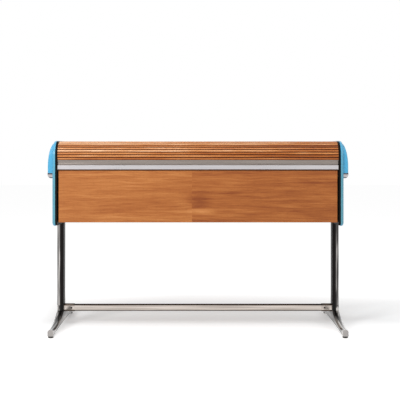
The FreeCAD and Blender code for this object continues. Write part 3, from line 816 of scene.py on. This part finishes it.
# %% [markdown]
# ## Foot glides
# Each foot stands on a black collar with a pale disc under it, which shows as a light line at the floor in
# the photograph. They could be one turned piece with two colours, but collar and disc are separate
# mouldings, so they are separate pieces. The disc's lower edge is rounded so that it slides, and its
# underside is a little hollow. The collar narrows upwards into the casting.

# %% Foot glides
GLIDE_X = 0.800
GLIDE_Y = -0.352
DISC_RADIUS = 0.0140
DISC_HEIGHT = 0.004
DISC_EDGE = 0.0015
DISC_RIM = 0.0040
DISC_HOLLOW = 0.0006
DISC_ROUNDING = 0.0008
COLLAR_RADIUS = 0.0150
COLLAR_HEIGHT = 0.008
COLLAR_TAPER = 0.96
COLLAR_RIM = 0.0030
COLLAR_ROUNDING = 0.0007


def make_disc():
    middle = 0.5 * DISC_HEIGHT
    disc = start_round("glide_disc_front_right", DISC_RADIUS, DISC_HEIGHT, (GLIDE_X, GLIDE_Y, middle))
    pick_cap(disc, Vector((0.0, 0.0, -1.0)), -middle)
    bpy.ops.mesh.inset(thickness=DISC_EDGE)
    step_in(DISC_RIM, (0.0, 0.0, DISC_HOLLOW))
    round_off(disc, DISC_ROUNDING)
    return disc


def make_collar():
    middle = (GLIDE_X, GLIDE_Y, DISC_HEIGHT + 0.5 * COLLAR_HEIGHT)
    collar = start_round("glide_collar_front_right", COLLAR_RADIUS, COLLAR_HEIGHT, middle)
    pick_cap(collar, Vector((0.0, 0.0, 1.0)), middle[2])
    bpy.ops.transform.resize(value=(COLLAR_TAPER, COLLAR_TAPER, 1.0), center_override=middle)
    bpy.ops.mesh.inset(thickness=COLLAR_RIM)
    round_off(collar, COLLAR_ROUNDING)
    return collar


def copy_to_feet(first):
    """The front right piece, copied to the other three foot tips."""
    stem = first.name.removesuffix("_front_right")
    placed = {"front_right": first}
    placed["rear_right"] = copy_piece(first, f"{stem}_rear_right", (0.0, -2.0 * GLIDE_Y, 0.0))
    placed["front_left"] = copy_piece(first, f"{stem}_front_left", (-2.0 * GLIDE_X, 0.0, 0.0))
    placed["rear_left"] = copy_piece(first, f"{stem}_rear_left", turn=HALF_TURN)
    return placed


for corner, disc in copy_to_feet(make_disc()).items():
    settle(disc, white_laminate, "white_laminate", f"foot_pad_{corner}")
for corner, collar in copy_to_feet(make_collar()).items():
    settle(collar, rubber, "rubber", f"foot_pad_{corner}")
print("glides: disc", len(disc.data.polygons), "faces, collar", len(collar.data.polygons), "faces")

# %% [markdown]
# ## Set screws
# A dark dot near the inner end of each footrest ferrule is the set screw that grips the bar. It could be a
# spot in the finish, but a step away it has depth. It is a small headless screw, so its blank is inset and
# pushed in a little, and then gets its hexagonal socket.

# %% Set screws
SCREW_X = 0.738
FERRULE_FRONT = -0.0155
SCREW_RADIUS = 0.0048
SCREW_DEPTH = 0.0024
SCREW_SUNK = 0.0008
SCREW_RIM = 0.0009
SCREW_DISH = 0.0003
SCREW_ROUNDING = 0.0003
SCREW_SOCKET = {"radius": 0.0024, "depth": 0.0030}


def make_set_screw():
    middle = FERRULE_FRONT - 0.5 * SCREW_DEPTH + SCREW_SUNK
    front = middle - 0.5 * SCREW_DEPTH
    screw = start_round(
        "set_screw_right", SCREW_RADIUS, SCREW_DEPTH, (SCREW_X, middle, BAR_LEVEL), FACE_FRONT, sides=24)
    pick_cap(screw, Vector((0.0, -1.0, 0.0)), -middle)
    step_in(SCREW_RIM, (0.0, SCREW_DISH, 0.0))
    round_off(screw, SCREW_ROUNDING)
    cut_socket(screw, place=(SCREW_X, front, BAR_LEVEL), turn=FACE_FRONT, **SCREW_SOCKET)
    return screw


set_screw = make_set_screw()
for screw in (set_screw, copy_piece(set_screw, "set_screw_left", (-2.0 * SCREW_X, 0.0, 0.0))):
    settle(screw, dark_lacquer, "dark_lacquer")
print("set screws: 2 with", len(set_screw.data.polygons), "faces each")

# %% [markdown]
# ## Camera
# The photograph was taken from straight ahead with its horizon near the top of the desk. Tilting the camera
# down would bring the feet into the picture, but it would also make the uprights lean. So the camera looks
# level along +Y at that height, and the lens is shifted down, as on a view camera.

# %% Camera
EYE = (0.0, -5.0, 1.022)
LEVEL_VIEW = (math.radians(90), 0.0, 0.0)
LENS_MM = 77.0
SENSOR_MM = 36.0
SHIFT = (0.005, -0.125)


def make_camera():
    camera = bpy.data.cameras.new("camera")
    camera.lens = LENS_MM
    camera.sensor_width = SENSOR_MM
    camera.shift_x, camera.shift_y = SHIFT
    holder = bpy.data.objects.new("camera", camera)
    holder.location = EYE
    holder.rotation_euler = LEVEL_VIEW
    bpy.context.scene.collection.objects.link(holder)
    bpy.context.scene.camera = holder


make_camera()
print("camera at", EYE)

# %% [markdown]
# ## Floor
# The photograph has no visible floor, only white and a soft shadow just behind the legs. More light would
# make the floor white, but it would bleach the desk as well. The floor is therefore pale, and what camera
# and mirror rays see of it is lifted to white, less the shadow. It is lifted more far off, where the lamps
# don't reach, and round the shadow: ahead of it, behind it and to its left.

# %% Floor
FLOOR_SIZE = 40.0
FLOOR_TONE = 0.90
NEAR_LIFT = 0.26
FAR_LIFT = 0.62
LIFT_REACH = (0.9, 2.2)
SHADOW_MIDDLE = 0.36
SHADOW_REACH = (0.12, 0.70)
SHADOW_LEFT = (-1.10, -0.82)


def seen_rays(tree):
    """One for rays that come from the camera, a mirror or glass, and nought for all others."""
    path = tree.nodes.new("ShaderNodeLightPath").outputs
    mirror = arithmetic(tree, "MAXIMUM", path["Is Glossy Ray"], path["Is Transmission Ray"])
    return arithmetic(tree, "MAXIMUM", path["Is Camera Ray"], mirror)


def floor_lift(tree, place):
    """How far the floor is lifted: least in the shadow, and most far off and round it."""
    distance = add_node(tree, "ShaderNodeVectorMath", {"operation": "LENGTH"}, Vector=place).outputs["Value"]
    axes = axes_of(tree, place)
    away = arithmetic(tree, "ABSOLUTE", arithmetic(tree, "SUBTRACT", axes["Y"], SHADOW_MIDDLE))
    far_off = remap(tree, distance, *LIFT_REACH, NEAR_LIFT, FAR_LIFT)
    before_or_behind = remap(tree, away, *SHADOW_REACH, NEAR_LIFT, FAR_LIFT)
    to_the_left = remap(tree, axes["X"], *SHADOW_LEFT, FAR_LIFT, NEAR_LIFT)
    return arithmetic(tree, "MAXIMUM", arithmetic(tree, "MAXIMUM", far_off, before_or_behind), to_the_left)


def make_floor():
    bpy.ops.mesh.primitive_plane_add(size=FLOOR_SIZE)
    floor = bpy.context.object
    floor.name = "floor"
    material, tree, shader, place = new_material(
        "floor", Roughness=0.9, Specular_IOR_Level=0.0, Emission_Strength=1.0,
        Base_Color=(FLOOR_TONE, FLOOR_TONE, FLOOR_TONE, 1.0))
    lift = arithmetic(tree, "MULTIPLY", seen_rays(tree), floor_lift(tree, place))
    tint = add_node(tree, "ShaderNodeCombineColor", Red=lift, Green=lift, Blue=lift)
    tree.links.new(tint.outputs["Color"], shader.inputs["Emission Color"])
    floor.data.materials.append(material)


make_floor()
print("floor of", FLOOR_SIZE, "m ready")

# %% [markdown]
# ## World
# A white world would be the short way to a white background, but it would flood the desk with light. It is
# white only to camera and mirror rays, as the floor is, and a plain studio grey to all others.

# %% World
STUDIO_LIGHT = 0.40


def make_world():
    world = bpy.data.worlds.new("studio")
    bpy.context.scene.world = world
    world.use_nodes = True
    tree = world.node_tree
    level = remap(tree, seen_rays(tree), 0.0, 1.0, STUDIO_LIGHT, 1.0)
    tree.links.new(level, tree.nodes["Background"].inputs["Color"])


make_world()
print("world ready, at", STUDIO_LIGHT)

# %% [markdown]
# ## Light
# One soft lamp stands to the left of the camera, which leaves the panel a little brighter on that side, and
# a weaker one fills from the right. A third hangs overhead and lightens the top of the hoods and the upper
# slats. A sun lamp could do the key's work, but its shadows are sharp. Large lamps give the soft edges that
# the photograph's shadows have.

# %% Lamps


def make_lamp(name, watts, size, place, target):
    """A rectangular lamp that is aimed at a point."""
    light = bpy.data.lights.new(name, "AREA")
    light.energy = watts
    light.shape = "RECTANGLE"
    light.size, light.size_y = size
    lamp = bpy.data.objects.new(name, light)
    lamp.location = place
    lamp.rotation_euler = (Vector(target) - Vector(place)).to_track_quat("-Z", "Y").to_euler()
    bpy.context.scene.collection.objects.link(lamp)


make_lamp("key", watts=97.0, size=(1.5, 1.5), place=(-2.8, -3.6, 2.4), target=(-0.2, 0.0, 0.6))
make_lamp("fill", watts=32.0, size=(2.5, 2.5), place=(3.2, -3.0, 2.2), target=(0.2, 0.0, 0.6))
make_lamp("overhead", watts=35.0, size=(3.0, 1.6), place=(-0.3, -1.6, 3.4), target=(0.0, 0.0, 0.8))

# %% [markdown]
# ## Colour
# Colours are shown as written, with no film curve over them.

# %% Finish
bpy.context.scene.view_settings.view_transform = "Standard"
